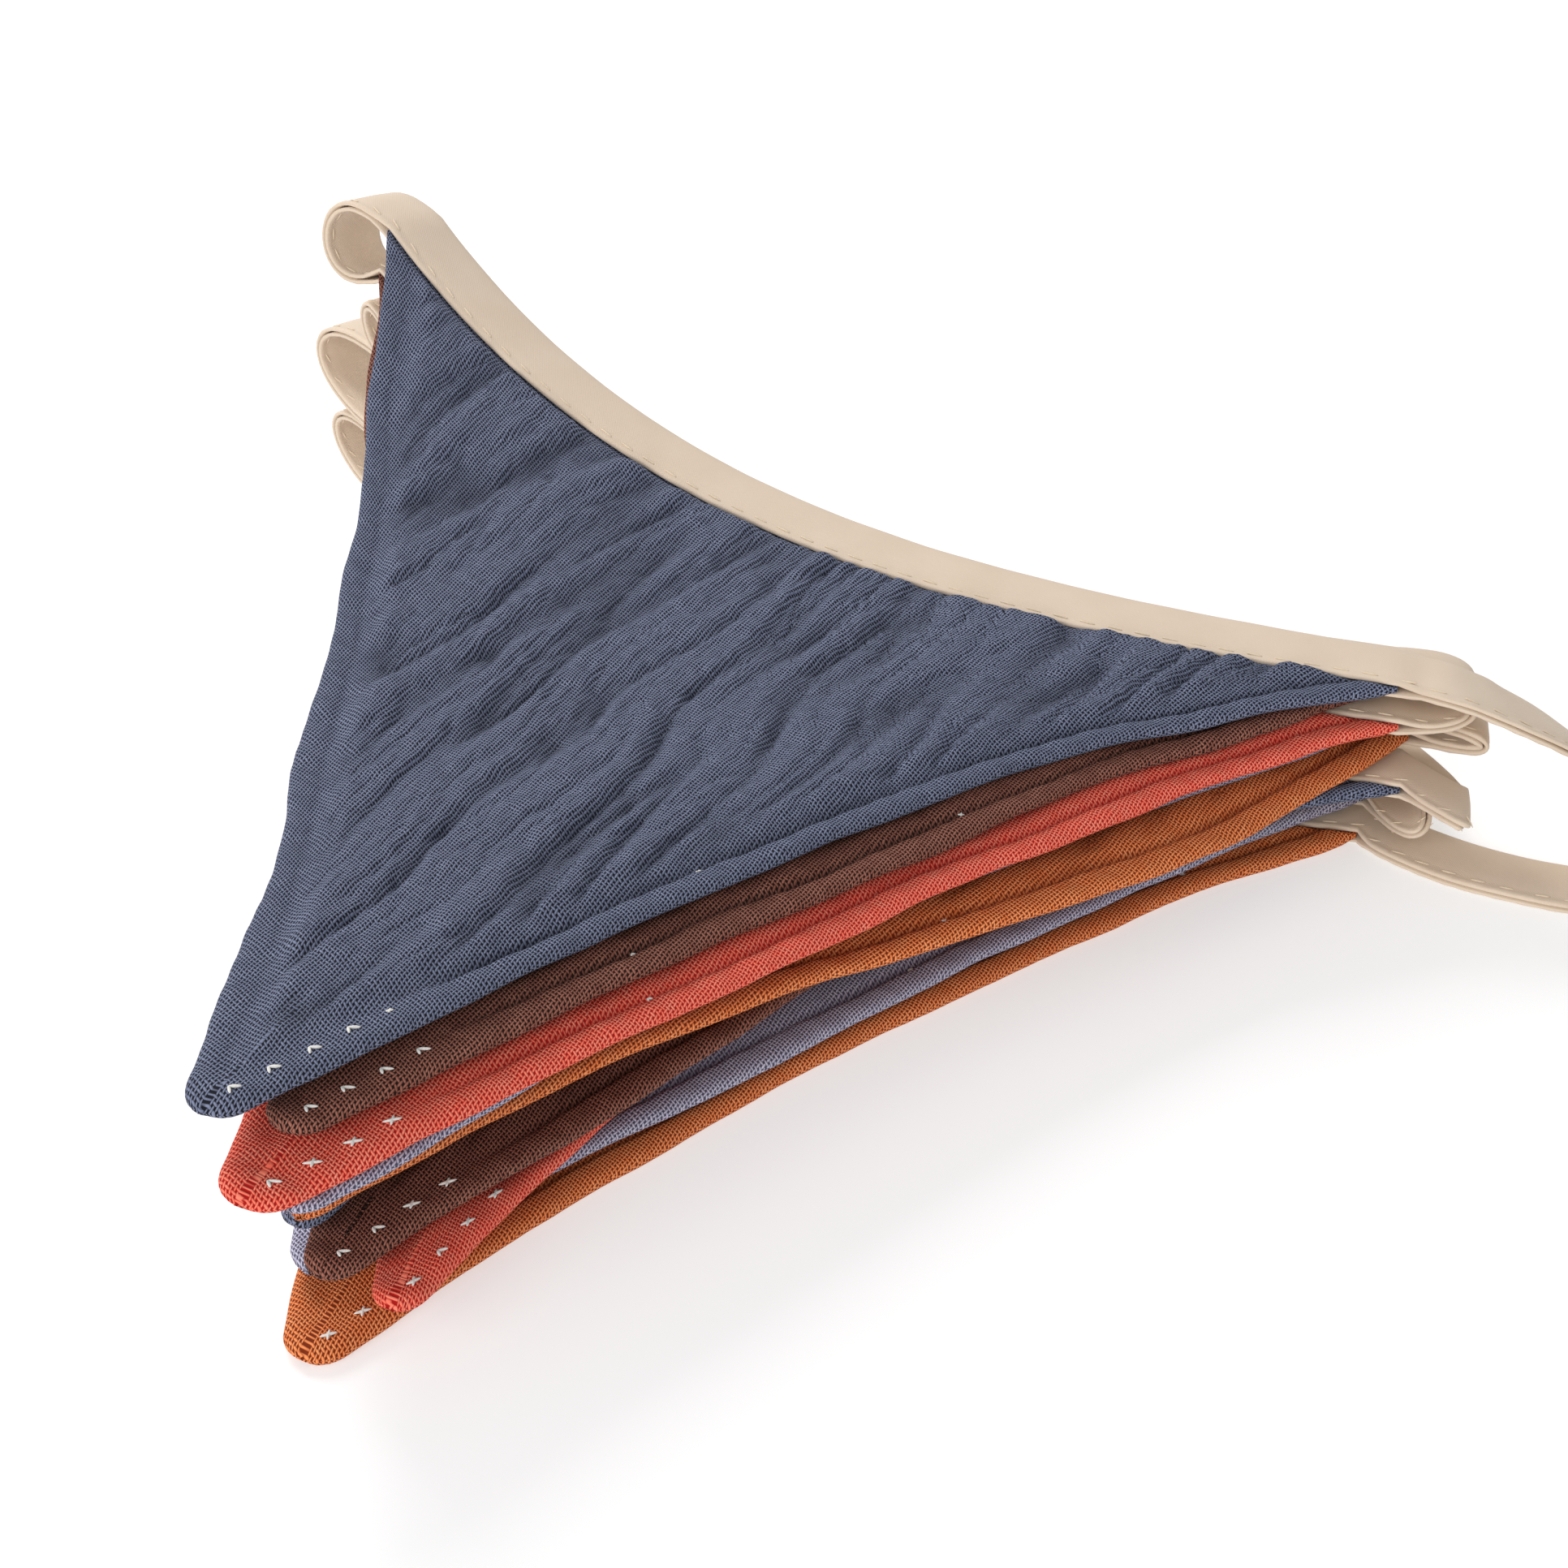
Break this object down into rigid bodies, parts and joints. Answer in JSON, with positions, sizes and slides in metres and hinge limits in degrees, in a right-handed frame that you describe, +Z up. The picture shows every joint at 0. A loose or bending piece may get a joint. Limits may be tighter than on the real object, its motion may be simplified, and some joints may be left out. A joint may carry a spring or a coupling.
{
  "type": "folded fabric bunting",
  "caption": "Fabric bunting folded in a zigzag pile: crinkled gauze triangular flags on one bias tape that loops back at both sides, with free tie ends.",
  "frame": {"origin": "middle of the footprint's box, on the surface that the pile lies on", "axes": "+Z up, +X along the flags' bound edges towards the free tape ends, flag tips towards -Y"},
  "size_m": [0.3028, 0.2458, 0.0799],
  "materials": {
    "slate_gauze": "crinkled matt double gauze",
    "brown_gauze": "crinkled matt double gauze",
    "coral_gauze": "crinkled matt double gauze",
    "lavender_gauze": "crinkled matt double gauze",
    "orange_gauze": "crinkled matt double gauze",
    "beige_tape": "smooth cotton bias tape",
    "white_thread": "sewing thread",
    "beige_thread": "sewing thread"
  },
  "bodies": {
    "root": {"flag_01_slate": "slate_gauze", "flag_02_brown": "brown_gauze", "flag_03_coral": "coral_gauze", "flag_04_lavender": "lavender_gauze", "flag_05_orange": "orange_gauze", "flag_06_slate": "slate_gauze", "flag_07_brown": "brown_gauze", "flag_08_coral": "coral_gauze", "flag_09_lavender": "lavender_gauze", "flag_10_orange": "orange_gauze", "bias_tape": "beige_tape"}
  },
  "joints": []
}
